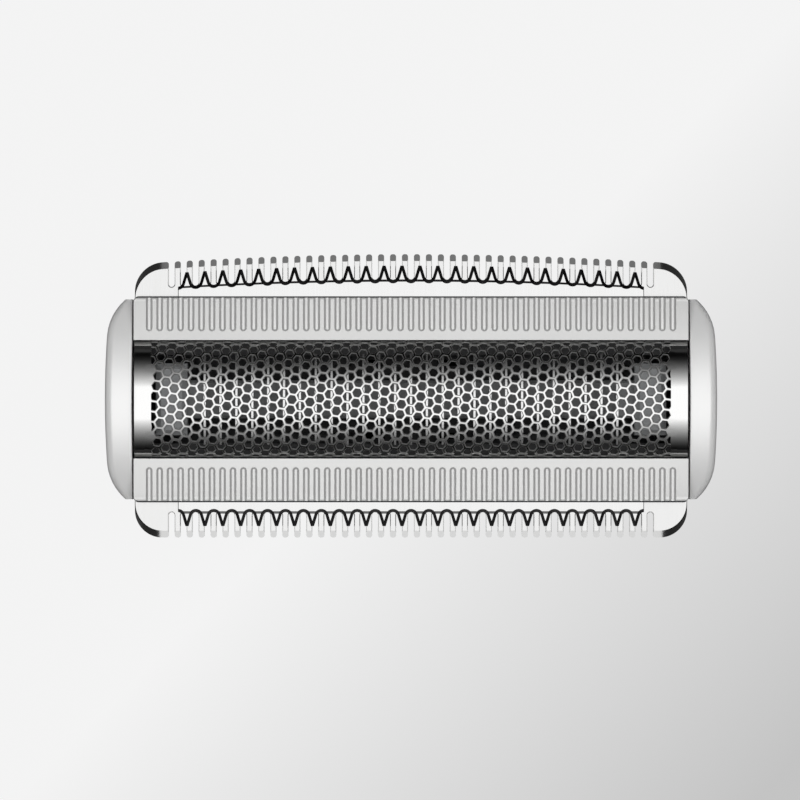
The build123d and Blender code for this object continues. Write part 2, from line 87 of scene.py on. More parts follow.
def newMaterial(name):
    material = bpy.data.materials.new(name)
    material.use_nodes = True
    tree = material.node_tree
    return material, tree, tree.nodes["Principled BSDF"]


def newTree(name, inputs):  # inputs: label -> socket kind
    tree = bpy.data.node_groups.new(name, "GeometryNodeTree")
    tree.interface.new_socket("Geometry", in_out="INPUT", socket_type="NodeSocketGeometry")
    for label, kind in inputs.items():
        tree.interface.new_socket(label, in_out="INPUT", socket_type="NodeSocket" + kind)
    tree.interface.new_socket("Geometry", in_out="OUTPUT", socket_type="NodeSocketGeometry")
    return tree, addNode(tree, "NodeGroupInput").outputs


def addRow(tree, given, start):  # points in a row along X, centred; start holds the other axes
    last = addNode(tree, "ShaderNodeMath", {0: given["Count"], 1: 1.0}, operation="SUBTRACT")
    half = addNode(tree, "ShaderNodeMath", {0: last.outputs[0], 1: given["Pitch"]}, operation="MULTIPLY")
    half = addNode(tree, "ShaderNodeMath", {0: half.outputs[0], 1: -0.5}, operation="MULTIPLY")
    first = addNode(tree, "ShaderNodeCombineXYZ", {0: half.outputs[0], **start})
    step = addNode(tree, "ShaderNodeCombineXYZ", {0: given["Pitch"]})
    return addNode(tree, "GeometryNodeMeshLine", {
        "Count": given["Count"], "Start Location": first.outputs[0], "Offset": step.outputs[0]})


def growMesh(name, tree, values, startMesh=None):  # runs a tree, gives back a plain mesh
    seed = bpy.data.objects.new(name + "Seed", startMesh or bpy.data.meshes.new(name + "Start"))
    bpy.context.scene.collection.objects.link(seed)
    modifier = seed.modifiers.new("grow", "NODES")
    modifier.node_group = tree
    for item in tree.interface.items_tree:
        if item.in_out == "INPUT" and item.name in values:
            modifier[item.identifier] = values[item.name]
    depsgraph = bpy.context.evaluated_depsgraph_get()
    mesh = bpy.data.meshes.new_from_object(seed.evaluated_get(depsgraph), depsgraph=depsgraph)
    bpy.data.objects.remove(seed)
    return mesh


def settle(mesh, sharpAngle=36):  # smooth faces with crisp edges
    mesh.shade_smooth()
    mesh.set_sharp_from_angle(angle=math.radians(sharpAngle))
    return mesh


def placePiece(name, mesh, body, slotName, *replaced):
    mesh.name = name
    piece = bpy.data.objects.new(name, mesh)
    bpy.context.scene.collection.objects.link(piece)
    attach(piece, body)
    if replaced:
        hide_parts(*replaced)


def mirrored(mesh, axis):  # a copy on the other side, faces turned back outwards
    copy = mesh.copy()
    copy.transform(Matrix.Scale(-1, 4, axis))
    copy.flip_normals()
    return copy


def addBox(bm, low, high):
    size = Vector(high) - Vector(low)
    middle = (Vector(high) + Vector(low)) / 2
    for vert in bmesh.ops.create_cube(bm, size=1)["verts"]:
        vert.co = Vector(c * s for c, s in zip(vert.co, size)) + middle


def arcPoints(centreX, centreY, radius, startDeg, endDeg, steps):  # points along an arc
    turns = [math.radians(startDeg + (endDeg - startDeg) * i / steps) for i in range(steps + 1)]
    return [(centreX + radius * math.cos(t), centreY + radius * math.sin(t)) for t in turns]


def finishMesh(bm, name):
    bmesh.ops.recalc_face_normals(bm, faces=bm.faces)
    mesh = bpy.data.meshes.new(name)
    bm.to_mesh(mesh)
    bm.free()
    return mesh


def ringMesh(name, rings):  # closed skin over equal rings of points, capped at both ends
    bm = bmesh.new()
    loops = [[bm.verts.new(p) for p in ring] for ring in rings]
    count = len(loops[0])
    for low, high in zip(loops, loops[1:]):
        for i in range(count):
            j = (i + 1) % count
            bm.faces.new((low[i], low[j], high[j], high[i]))
    bm.faces.new(list(reversed(loops[0])))
    bm.faces.new(loops[-1])
    return finishMesh(bm, name)


def hiddenObject(mesh):  # a shape that a tree copies, removed after use
    helper = bpy.data.objects.new(mesh.name, mesh)
    bpy.context.scene.collection.objects.link(helper)
    return helper


# Materials

# electroformed nickel: mirror bright, with a faint drift in polish
nickel, tree, shader = newMaterial("electroformed_nickel_foil")
place = addNode(tree, "ShaderNodeTexCoord").outputs["Object"]
cloud = addNode(tree, "ShaderNodeTexNoise", {"Vector": place, "Scale": 1 / (2.5 * mm), "Detail": 4.0})
polish = addNode(tree, "ShaderNodeMapRange", {"Value": cloud.outputs[0], "To Min": 0.04, "To Max": 0.1})
shader.inputs["Base Color"].default_value = toLinear("#f6f6f5")
shader.inputs["Metallic"].default_value = 1.0
tree.links.new(polish.outputs[0], shader.inputs["Roughness"])

rimNickel, tree, shader = newMaterial("as_grown_nickel_rims")  # the matt flanks of the holes
shader.inputs["Base Color"].default_value = toLinear("#e6e6e5")
shader.inputs["Metallic"].default_value = 1.0
shader.inputs["Roughness"].default_value = 0.85


# ground stainless steel: bright, with fine lines across the plate, drawn coarser than the real ones
def groundSteel(name, light, dark, grind, rough):  # grind in mm
    material, tree, shader = newMaterial(name)
    place = addNode(tree, "ShaderNodeTexCoord").outputs["Object"]
    turned = addNode(tree, "ShaderNodeMapping", {
        "Vector": place, "Scale": (1.0, 0.04, 1.0)})  # lines run along Y
    lines = addNode(tree, "ShaderNodeTexNoise", {"Vector": turned.outputs[0], "Scale": 1 / (grind * mm),
                                                 "Detail": 3.0})
    tone = addNode(tree, "ShaderNodeMix", {0: lines.outputs[0], 6: toLinear(dark), 7: toLinear(light)},
                   data_type="RGBA")
    polish = addNode(tree, "ShaderNodeMapRange", {"Value": lines.outputs[0], "To Min": rough * 0.8,
                                                  "To Max": rough * 1.25})
    bump = addNode(tree, "ShaderNodeBump", {
        "Height": lines.outputs[0], "Strength": 0.04, "Distance": 0.005 * mm})
    tree.links.new(tone.outputs[2], shader.inputs["Base Color"])
    tree.links.new(polish.outputs[0], shader.inputs["Roughness"])
    tree.links.new(bump.outputs[0], shader.inputs["Normal"])
    shader.inputs["Metallic"].default_value = 1.0
    return material


combSteel = groundSteel("ground_stainless_comb", "#ebebeb", "#e2e2e1", 0.16, 0.14)
bladeSteel = groundSteel("lapped_stainless_blade", "#ededed", "#e6e6e5", 0.12, 0.06)
lamellaSteel = groundSteel("ground_lamella_steel", "#fafafa", "#efefee", 0.1, 0.25)
springSteel = groundSteel("rolled_spring_steel", "#c9c8c4", "#b4b2ad", 0.2, 0.3)


# moulded plastic: an even tone with a slight drift, and a grain drawn coarser than the real one, so that it
# shows; drift and grain are in mm
def mouldedPlastic(name, light, dark, rough, drift=5, grain=0.2, grainBump=0.1, metallic=0.0):
    material, tree, shader = newMaterial(name)
    place = addNode(tree, "ShaderNodeTexCoord").outputs["Object"]
    cloud = addNode(tree, "ShaderNodeTexNoise", {"Vector": place, "Scale": 1 / (drift * mm), "Detail": 3.0})
    tone = addNode(tree, "ShaderNodeMix", {0: cloud.outputs[0], 6: toLinear(dark), 7: toLinear(light)},
                   data_type="RGBA")
    speck = addNode(tree, "ShaderNodeTexNoise", {"Vector": place, "Scale": 1 / (grain * mm), "Detail": 2.0})
    bump = addNode(tree, "ShaderNodeBump", {
        "Height": speck.outputs[0], "Strength": grainBump, "Distance": 0.02 * mm})
    tree.links.new(tone.outputs[2], shader.inputs["Base Color"])
    tree.links.new(bump.outputs[0], shader.inputs["Normal"])
    shader.inputs["Metallic"].default_value = metallic
    shader.inputs["Roughness"].default_value = rough
    shader.inputs["IOR"].default_value = 1.5
    return material


# silver lacquer on ABS: part of the light comes back as a metallic sheen that falls off towards the edges
satinSilver = mouldedPlastic("satin_silver_lacquered_abs", "#e6e6e5", "#e0e0e0", 0.3, 6, 0.12, 0.05, 0.33)
paleSilver = mouldedPlastic("pale_silver_lacquered_abs", "#e0e0df", "#dadad9", 0.34, 8, 0.15, 0.06, 0.6)
# bare plastics: dull and dark, with the carrier's grey behind the foil
frameAbs = mouldedPlastic("moulded_charcoal_abs_frame", "#3a3b3d", "#303133", 0.45)
blackPom = mouldedPlastic("moulded_black_pom_frame", "#161617", "#101011", 0.35)
greyPom = mouldedPlastic("moulded_grey_pom_carrier", "#8e8f90", "#848586", 0.4)
darkPom = mouldedPlastic("moulded_dark_pom_bridge", "#1f1f20", "#19191a", 0.4)
print("materials made")

# Foil: a developed sheet with staggered hexagonal holes, bent over the arch

foilLow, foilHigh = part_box("foil")
foil = {
    "radius": 11.2 * mm,
    "shoulder": 1.3 * mm,
    "thickness": 0.12 * mm,
    "band": 1.6 * mm,  # plain chrome at each end
    "lap": 0.6 * mm,  # pierced sheet beyond the last holes, before the plain bands
    "rowPitch": 0.98 * mm,
    "rows": 25,
    "columnPitch": 0.8594 * mm,
    "columns": 69,
    "rowLean": 0.0046 * mm,  # each column stands this much higher than the one before
    "holeFlats": 0.7 * mm,
    "taper": 0.07 * mm,  # the holes open upwards, as electroforming leaves them
    "turn": math.radians(-8.2),  # of the rows against the foil's length
    "holeCentre": (0.01 * mm, -0.104 * mm),  # the middle hole
}
arch = math.asin((foilHigh.y - foil["shoulder"]) / (foil["radius"] - foil["shoulder"]))
bendStart = foil["radius"] * arch
bendEnd = bendStart + foil["shoulder"] * (math.pi / 2 - arch)
foilAxis = foilHigh.z - foil["radius"]
skirtTop = foilAxis + (foil["radius"] - foil["shoulder"]) * math.cos(arch)

tree, given = newTree("perforatedFoil", {
    "Length": "Float", "Mesh Length": "Float", "Lap": "Float", "Half Width": "Float",
    "Mesh Half Width": "Float", "Row Pitch": "Float", "Column Pitch": "Float", "Row Lean": "Float",
    "Hole Radius": "Float", "Hole Taper": "Float",
    "Columns": "Int", "Rows": "Int", "Turn": "Float", "Shift": "Vector", "Thickness": "Float",
    "Radius": "Float", "Shoulder": "Float", "Bend Start": "Float", "Bend End": "Float", "Axis": "Float",
    "Material": "Material", "Rim Material": "Material",
})
lastColumn = addNode(tree, "ShaderNodeMath", {0: given["Columns"], 1: 1.0}, operation="SUBTRACT")
lastRow = addNode(tree, "ShaderNodeMath", {0: given["Rows"], 1: 1.0}, operation="SUBTRACT")
spanX = addNode(tree, "ShaderNodeMath", {0: lastColumn.outputs[0], 1: given["Column Pitch"]},
                operation="MULTIPLY")
spanY = addNode(tree, "ShaderNodeMath", {0: lastRow.outputs[0], 1: given["Row Pitch"]}, operation="MULTIPLY")
lattice = addNode(tree, "GeometryNodeMeshGrid", {
    "Size X": spanX.outputs[0], "Size Y": spanY.outputs[0], "Vertices X": given["Columns"],
    "Vertices Y": given["Rows"]})
column = addNode(tree, "ShaderNodeMath", {
    0: addNode(tree, "GeometryNodeInputIndex").outputs[0], 1: given["Rows"]}, operation="DIVIDE")
column = addNode(tree, "ShaderNodeMath", {0: column.outputs[0]}, operation="FLOOR")
odd = addNode(tree, "ShaderNodeMath", {0: column.outputs[0], 1: 2.0}, operation="MODULO")
odd = addNode(tree, "ShaderNodeMath", {0: odd.outputs[0], 1: given["Row Pitch"]}, operation="MULTIPLY")
middleColumn = addNode(tree, "ShaderNodeMath", {0: lastColumn.outputs[0], 1: 0.5}, operation="MULTIPLY")
fromMiddle = addNode(tree, "ShaderNodeMath", {0: column.outputs[0], 1: middleColumn.outputs[0]},
                     operation="SUBTRACT")
lean = addNode(tree, "ShaderNodeMath", {0: fromMiddle.outputs[0], 1: given["Row Lean"]}, operation="MULTIPLY")
odd = addNode(tree, "ShaderNodeMath", {0: odd.outputs[0], 1: 0.5, 2: lean.outputs[0]},
              operation="MULTIPLY_ADD")
stagger = addNode(tree, "ShaderNodeCombineXYZ", {1: odd.outputs[0]})
staggered = addNode(tree, "GeometryNodeSetPosition", {
    "Geometry": lattice.outputs[0], "Offset": stagger.outputs[0]})
turnVector = addNode(tree, "ShaderNodeCombineXYZ", {2: given["Turn"]})
turnRotation = addNode(tree, "FunctionNodeEulerToRotation", {0: turnVector.outputs[0]})
turned = addNode(tree, "GeometryNodeTransform", {
    "Geometry": staggered.outputs[0], "Rotation": turnRotation.outputs[0], "Translation": given["Shift"]})
spot = addNode(tree, "ShaderNodeSeparateXYZ", {0: addNode(tree, "GeometryNodeInputPosition").outputs[0]})
farX = addNode(tree, "ShaderNodeMath", {0: spot.outputs[0]}, operation="ABSOLUTE")
farY = addNode(tree, "ShaderNodeMath", {0: spot.outputs[1]}, operation="ABSOLUTE")
meshHalf = addNode(tree, "ShaderNodeMath", {0: given["Mesh Length"], 1: 0.5}, operation="MULTIPLY")
part = addNode(tree, "ShaderNodeMath", {0: given["Hole Radius"], 1: 0.35},
               operation="MULTIPLY")  # least cut hole
reachX = addNode(tree, "ShaderNodeMath", {0: meshHalf.outputs[0], 1: part.outputs[0]}, operation="ADD")
outX = addNode(tree, "ShaderNodeMath", {0: farX.outputs[0], 1: reachX.outputs[0]}, operation="GREATER_THAN")
outY = addNode(tree, "ShaderNodeMath", {0: farY.outputs[0], 1: given["Mesh Half Width"]},
               operation="GREATER_THAN")
out = addNode(tree, "ShaderNodeMath", {0: outX.outputs[0], 1: outY.outputs[0]}, operation="MAXIMUM")
centres = addNode(tree, "GeometryNodeDeleteGeometry", {
    "Geometry": turned.outputs[0], "Selection": out.outputs[0]})
hexagon = addNode(tree, "GeometryNodeCurvePrimitiveCircle", {"Resolution": 6, "Radius": given["Hole Radius"]})
hexagon = addNode(tree, "GeometryNodeSubdivideCurve", {
    0: hexagon.outputs[0], 1: 2})  # so that rims bend smoothly
holes = addNode(tree, "GeometryNodeInstanceOnPoints", {
    "Points": centres.outputs[0], "Instance": hexagon.outputs[0], "Rotation": turnRotation.outputs[0]})
holes = addNode(tree, "GeometryNodeRealizeInstances", {0: holes.outputs[0]})
meshEnd = addNode(tree, "ShaderNodeMath", {0: meshHalf.outputs[0], 1: -1.0}, operation="MULTIPLY")
cutX = addNode(tree, "ShaderNodeClamp", {0: spot.outputs[0], 1: meshEnd.outputs[0], 2: meshHalf.outputs[0]})
cutSpot = addNode(tree, "ShaderNodeCombineXYZ", {0: cutX.outputs[0], 1: spot.outputs[1], 2: 0.0})
holes = addNode(tree, "GeometryNodeSetPosition", {
    "Geometry": holes.outputs[0], "Position": cutSpot.outputs[0]})
laps = addNode(tree, "ShaderNodeMath", {0: given["Lap"], 1: 2.0}, operation="MULTIPLY")
piercedLength = addNode(tree, "ShaderNodeMath", {0: given["Mesh Length"], 1: laps.outputs[0]},
                        operation="ADD")
fullWidth = addNode(tree, "ShaderNodeMath", {0: given["Half Width"], 1: 2.0}, operation="MULTIPLY")
edge = addNode(tree, "GeometryNodeCurvePrimitiveQuadrilateral", {
    0: piercedLength.outputs[0], 1: fullWidth.outputs[0]})
edge = addNode(tree, "GeometryNodeSubdivideCurve", {
    0: edge.outputs[0], 1: 90})  # so that the sheet bends smoothly
outlines = addNode(tree, "GeometryNodeJoinGeometry", {0: holes.outputs[0]})
tree.links.new(edge.outputs[0], outlines.inputs[0])
pierced = addNode(tree, "GeometryNodeFillCurve", {0: outlines.outputs[0]})
bandLength = addNode(tree, "ShaderNodeMath", {0: given["Length"], 1: piercedLength.outputs[0]},
                     operation="SUBTRACT")
bandLength = addNode(tree, "ShaderNodeMath", {0: bandLength.outputs[0], 1: 0.5}, operation="MULTIPLY")
bandX = addNode(tree, "ShaderNodeMath", {0: piercedLength.outputs[0], 1: bandLength.outputs[0]},
                operation="ADD")
bandX = addNode(tree, "ShaderNodeMath", {0: bandX.outputs[0], 1: 0.5}, operation="MULTIPLY")
bandPlain = addNode(tree, "GeometryNodeMeshGrid", {
    "Size X": bandLength.outputs[0], "Size Y": fullWidth.outputs[0], "Vertices X": 2, "Vertices Y": 240})
bandShift = addNode(tree, "ShaderNodeCombineXYZ", {0: bandX.outputs[0]})
bandRight = addNode(tree, "GeometryNodeTransform", {
    "Geometry": bandPlain.outputs[0], "Translation": bandShift.outputs[0]})
bandLeft = addNode(tree, "GeometryNodeTransform", {
    "Geometry": bandRight.outputs[0], "Rotation": (0.0, 0.0, math.pi)})
sheet = addNode(tree, "GeometryNodeJoinGeometry", {0: pierced.outputs[0]})
tree.links.new(bandRight.outputs[0], sheet.inputs[0])
tree.links.new(bandLeft.outputs[0], sheet.inputs[0])
lift = addNode(tree, "ShaderNodeCombineXYZ", {2: given["Thickness"]})
raised = addNode(tree, "GeometryNodeExtrudeMesh", {
    "Mesh": sheet.outputs[0], "Offset": lift.outputs[0], "Offset Scale": 1.0, "Individual": False})
nearest = addNode(tree, "GeometryNodeProximity", {0: centres.outputs[0]}, target_element="POINTS")
flat = addNode(tree, "ShaderNodeCombineXYZ", {0: spot.outputs[0], 1: spot.outputs[1]})
away = addNode(tree, "ShaderNodeVectorMath", {0: flat.outputs[0], 1: nearest.outputs["Position"]},
               operation="SUBTRACT")
tree.links.new(flat.outputs[0], nearest.inputs["Sample Position"])
outward = addNode(tree, "ShaderNodeVectorMath", {0: away.outputs[0]}, operation="NORMALIZE")
spread = addNode(tree, "ShaderNodeVectorMath", {0: outward.outputs[0], "Scale": given["Hole Taper"]},
                 operation="SCALE")
rim = addNode(tree, "ShaderNodeMath", {0: given["Hole Radius"], 1: 1.02},
              operation="MULTIPLY")  # just past corners
atRim = addNode(tree, "ShaderNodeMath", {0: nearest.outputs["Distance"], 1: rim.outputs[0]},
                operation="LESS_THAN")
onTop = addNode(tree, "ShaderNodeMath", {0: spot.outputs[2], 1: 0.0}, operation="GREATER_THAN")
widen = addNode(tree, "ShaderNodeMath", {0: atRim.outputs[0], 1: onTop.outputs[0]}, operation="MULTIPLY")
wide = addNode(tree, "ShaderNodeVectorMath", {
    0: addNode(tree, "GeometryNodeInputPosition").outputs[0], 1: spread.outputs[0]}, operation="ADD")
wide = addNode(tree, "ShaderNodeSeparateXYZ", {0: wide.outputs[0]})
wideX = addNode(tree, "ShaderNodeClamp", {0: wide.outputs[0], 1: meshEnd.outputs[0], 2: meshHalf.outputs[0]})
wide = addNode(tree, "ShaderNodeCombineXYZ", {0: wideX.outputs[0], 1: wide.outputs[1], 2: wide.outputs[2]})
opened = addNode(tree, "GeometryNodeSetPosition", {
    "Geometry": raised.outputs[0], "Selection": widen.outputs[0], "Position": wide.outputs[0]})
under = addNode(tree, "GeometryNodeFlipFaces", {0: sheet.outputs[0]})
slab = addNode(tree, "GeometryNodeJoinGeometry", {0: opened.outputs[0]})
tree.links.new(under.outputs[0], slab.inputs[0])
slab = addNode(tree, "GeometryNodeMergeByDistance", {0: slab.outputs[0], "Distance": 0.002 * mm})
run = addNode(tree, "ShaderNodeMath", {0: farY.outputs[0], 1: given["Bend Start"]}, operation="MINIMUM")
archAngle = addNode(tree, "ShaderNodeMath", {0: run.outputs[0], 1: given["Radius"]}, operation="DIVIDE")
past = addNode(tree, "ShaderNodeMath", {0: farY.outputs[0], 1: given["Bend Start"]}, operation="SUBTRACT")
bendRun = addNode(tree, "ShaderNodeMath", {0: given["Bend End"], 1: given["Bend Start"]},
                  operation="SUBTRACT")
past = addNode(tree, "ShaderNodeClamp", {0: past.outputs[0], 1: 0.0, 2: bendRun.outputs[0]})
past = addNode(tree, "ShaderNodeMath", {0: past.outputs[0], 1: given["Shoulder"]}, operation="DIVIDE")
angle = addNode(tree, "ShaderNodeMath", {0: archAngle.outputs[0], 1: past.outputs[0]}, operation="ADD")
core = addNode(tree, "ShaderNodeMath", {0: given["Radius"], 1: given["Shoulder"]}, operation="SUBTRACT")
skin = addNode(tree, "ShaderNodeMath", {0: given["Shoulder"], 1: spot.outputs[2]}, operation="ADD")
skin = addNode(tree, "ShaderNodeMath", {0: skin.outputs[0], 1: given["Thickness"]}, operation="SUBTRACT")
coreY = addNode(tree, "ShaderNodeMath", {0: archAngle.outputs[0]}, operation="SINE")
coreZ = addNode(tree, "ShaderNodeMath", {0: archAngle.outputs[0]}, operation="COSINE")
skinY = addNode(tree, "ShaderNodeMath", {0: angle.outputs[0]}, operation="SINE")
skinZ = addNode(tree, "ShaderNodeMath", {0: angle.outputs[0]}, operation="COSINE")
coreY = addNode(tree, "ShaderNodeMath", {0: coreY.outputs[0], 1: core.outputs[0]}, operation="MULTIPLY")
coreZ = addNode(tree, "ShaderNodeMath", {0: coreZ.outputs[0], 1: core.outputs[0], 2: given["Axis"]},
                operation="MULTIPLY_ADD")
bentY = addNode(tree, "ShaderNodeMath", {0: skinY.outputs[0], 1: skin.outputs[0], 2: coreY.outputs[0]},
                operation="MULTIPLY_ADD")
bentZ = addNode(tree, "ShaderNodeMath", {0: skinZ.outputs[0], 1: skin.outputs[0], 2: coreZ.outputs[0]},
                operation="MULTIPLY_ADD")
drop = addNode(tree, "ShaderNodeMath", {0: farY.outputs[0], 1: given["Bend End"]}, operation="SUBTRACT")
drop = addNode(tree, "ShaderNodeMath", {0: drop.outputs[0], 1: 0.0}, operation="MAXIMUM")
bentZ = addNode(tree, "ShaderNodeMath", {0: bentZ.outputs[0], 1: drop.outputs[0]}, operation="SUBTRACT")
side = addNode(tree, "ShaderNodeMath", {0: spot.outputs[1]}, operation="SIGN")
bentY = addNode(tree, "ShaderNodeMath", {0: bentY.outputs[0], 1: side.outputs[0]}, operation="MULTIPLY")
bent = addNode(tree, "ShaderNodeCombineXYZ", {0: spot.outputs[0], 1: bentY.outputs[0], 2: bentZ.outputs[0]})
bentFoil = addNode(tree, "GeometryNodeSetPosition", {
    "Geometry": slab.outputs[0], "Position": bent.outputs[0]})
real = addNode(tree, "GeometryNodeRealizeInstances", {0: bentFoil.outputs[0]})
dressed = addNode(tree, "GeometryNodeSetMaterial", {
    "Geometry": real.outputs[0], "Material": given["Material"]})
dressed = addNode(tree, "GeometryNodeSetMaterial", {
    "Geometry": dressed.outputs[0], "Selection": raised.outputs["Side"], "Material": given["Rim Material"]})
addNode(tree, "NodeGroupOutput", {0: dressed.outputs[0]})

foilLength = foilHigh.x - foilLow.x
foilMesh = growMesh("foilMesh", tree, {
    "Length": foilLength,
    "Mesh Length": foilLength - 2 * foil["band"],
    "Lap": foil["lap"],
    "Half Width": bendEnd + skirtTop - foilLow.z,
    "Mesh Half Width": bendEnd,
    "Row Pitch": foil["rowPitch"],
    "Column Pitch": foil["columnPitch"],
    "Row Lean": foil["rowLean"],
    "Hole Radius": foil["holeFlats"] / math.sqrt(3),
    "Hole Taper": foil["taper"],
    "Columns": foil["columns"],
    "Rows": foil["rows"],
    "Turn": foil["turn"],
    "Shift": (*foil["holeCentre"], 0.0),
    "Thickness": foil["thickness"],
    "Radius": foil["radius"],
    "Shoulder": foil["shoulder"],
    "Bend Start": bendStart,
    "Bend End": bendEnd,
    "Axis": foilAxis,
    "Material": nickel,
    "Rim Material": rimNickel,
})
placePiece("foil_sheet", settle(foilMesh), "foil_cassette", "foil_nickel", "foil")
print("foil made,", len(foilMesh.polygons), "faces")

# Trimmers: plates notched along their outer edge, then crowned

tree, given = newTree("notchedPlate", {
    "Notch": "Object", "Windows": "Object", "Count": "Int", "Pitch": "Float", "Root": "Float",
    "Crown": "Float", "Crown Share": "Float", "Crown Half": "Float", "Back": "Float", "Material": "Material",
})
row = addRow(tree, given, {1: given["Root"]})
notch = addNode(tree, "GeometryNodeObjectInfo", {"Object": given["Notch"]})
windows = addNode(tree, "GeometryNodeObjectInfo", {"Object": given["Windows"]})
notches = addNode(tree, "GeometryNodeInstanceOnPoints", {
    "Points": row.outputs[0], "Instance": notch.outputs["Geometry"]})
cut = addNode(tree, "GeometryNodeMeshBoolean", {"Mesh 1": given["Geometry"], "Mesh 2": notches.outputs[0]},
              operation="DIFFERENCE", solver="EXACT")
tree.links.new(windows.outputs["Geometry"], cut.inputs["Mesh 2"])
spot = addNode(tree, "ShaderNodeSeparateXYZ", {0: addNode(tree, "GeometryNodeInputPosition").outputs[0]})
along = addNode(tree, "ShaderNodeMath", {0: spot.outputs[0], 1: given["Crown Half"]}, operation="DIVIDE")
along = addNode(tree, "ShaderNodeMath", {0: along.outputs[0], 1: 2.0}, operation="POWER")
along = addNode(tree, "ShaderNodeMath", {0: given["Crown Share"], 1: along.outputs[0]}, operation="SUBTRACT")
share = addNode(tree, "ShaderNodeMapRange", {  # 0 at the back, 1 at the roots
    "Value": spot.outputs[1], "From Min": given["Back"], "From Max": given["Root"]})
rise = addNode(tree, "ShaderNodeMath", {0: along.outputs[0], 1: share.outputs[0]}, operation="MULTIPLY")
rise = addNode(tree, "ShaderNodeMath", {0: rise.outputs[0], 1: given["Crown"]}, operation="MULTIPLY")
rise = addNode(tree, "ShaderNodeCombineXYZ", {1: rise.outputs[0]})
crowned = addNode(tree, "GeometryNodeSetPosition", {"Geometry": cut.outputs[0], "Offset": rise.outputs[0]})
real = addNode(tree, "GeometryNodeRealizeInstances", {0: crowned.outputs[0]})
dressed = addNode(tree, "GeometryNodeSetMaterial", {
    "Geometry": real.outputs[0], "Material": given["Material"]})
addNode(tree, "NodeGroupOutput", {0: dressed.outputs[0]})
notchedPlate = tree

combLow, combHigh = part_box("front_comb")
bladeLow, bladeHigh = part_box("front_trimmer_blade")
barLow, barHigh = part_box("rear_skin_bar")
tipY = -combLow.y  # both trimmers are made on the +Y side
comb = {
    "thickness": 0.5 * mm,
    "corner": 2.6 * mm,
    "bevel": 0.58 * mm,
    "bevelDepth": 0.42 * mm,
    "pitch": 1.135 * mm,
    "slots": 41,
    "slotWidth": 0.555 * mm,
    "toothLength": 2.4 * mm,
    "tipRound": 0.24 * mm,
    "cutPast": 0.5 * mm,  # how far the slots' cutter reaches past the tips
    "edge": 0.08 * mm,
    "bevelEdge": 0.05 * mm,  # a softer break at the top of the bevel
    "sideEdge": 0.06 * mm,
    "crown": {"rear": 0.95 * mm, "front": 0.0},
    "sharp": 9,  # degrees from which an edge stays crisp
    "crownShare": 0.69,  # of the crown stands ahead of the straight comb's tips
}
combBottom = combLow.z
combTop = combBottom + comb["thickness"]
combBack = -combHigh.y
toothRoot = tipY - comb["toothLength"]

combOutline = [(-combHigh.x, combBack), (combHigh.x, combBack)]
combOutline += arcPoints(combHigh.x - comb["corner"], tipY - comb["corner"], comb["corner"], 0, 90, 20)
combOutline += arcPoints(-combHigh.x + comb["corner"], tipY - comb["corner"], comb["corner"], 90, 180, 20)
bevelBreak = comb["bevel"] - 0.5 * comb["bevelEdge"]
combRings = (  # set back, narrowed, height
    (0, 0, combBottom),
    (0, 0, combTop - comb["bevelDepth"]),
    (bevelBreak, 0, combTop - comb["bevelEdge"]),
    (bevelBreak + 2 * comb["bevelEdge"], comb["sideEdge"], combTop),
)
combBlank = ringMesh("combBlank", [
    [(x * (1 - narrow / combHigh.x), y - (back if y > combBack else 0), z) for x, y in combOutline]
    for back, narrow, z in combRings])


def slotOutline(grow):
    half, tipRound = comb["slotWidth"] / 2 + grow, comb["tipRound"] - grow
    outline = arcPoints(0, comb["slotWidth"] / 2, half, -90, 0, 8)
    outline += arcPoints(half + tipRound, comb["toothLength"] - comb["tipRound"], tipRound, 180, 90, 6)
    outline += [(half + tipRound, comb["toothLength"] + comb["cutPast"])]
    return outline + [(-x, y) for x, y in reversed(outline) if x > 1e-9]


slotCutter = hiddenObject(ringMesh("slotCutter", [
    [(x, y, z) for x, y in slotOutline(grow)] for grow, z in (
        (0, combBottom - mm), (0, combTop - comb["edge"]), (2 * comb["edge"], combTop + comb["edge"]))]))

# the bridge's tongue comes up through comb and blade, and the comb's two tabs guide the blade
tongue = {"y": 7.4 * mm, "length": 1.6 * mm, "width": 1.0 * mm, "fit": 0.02 * mm, "stroke": 0.7 * mm,
          "room": 0.1 * mm}
tab = {"spacing": 28.0 * mm, "length": 2.0 * mm, "width": 0.6 * mm, "top": 23.13 * mm, "root": 0.1 * mm}
bm = bmesh.new()
reach = tongue["length"] / 2 + tongue["stroke"] + tongue["room"]
addBox(bm, (-reach, tongue["y"] - tongue["width"] / 2 - tongue["room"], combBottom - mm),
       (reach, tongue["y"] + tongue["width"] / 2 + tongue["room"], combTop + mm))
combWindow = hiddenObject(finishMesh(bm, "combWindow"))

for sideName, crown in comb["crown"].items():
    plate = growMesh(sideName + "Comb", notchedPlate, {
        "Notch": slotCutter, "Windows": combWindow, "Count": comb["slots"], "Pitch": comb["pitch"],
        "Root": toothRoot, "Crown": crown, "Crown Share": comb["crownShare"], "Crown Half": combHigh.x,
        "Back": combBack, "Material": combSteel,
    }, combBlank)
    bm = bmesh.new()
    bm.from_mesh(plate)
    for x in (-tab["spacing"] / 2, tab["spacing"] / 2):  # guide tabs that the blade slides along
        addBox(bm, (x - tab["length"] / 2, tongue["y"] - tab["width"] / 2, combTop - tab["root"]),
               (x + tab["length"] / 2, tongue["y"] + tab["width"] / 2, tab["top"]))
    bm.to_mesh(plate)
    bm.free()
    if sideName == "front":
        plate = mirrored(plate, (0, 1, 0))
    placePiece(sideName + "_comb_plate", settle(plate, comb["sharp"]), "housing", "comb_steel",
               sideName + "_comb")
print("combs made")

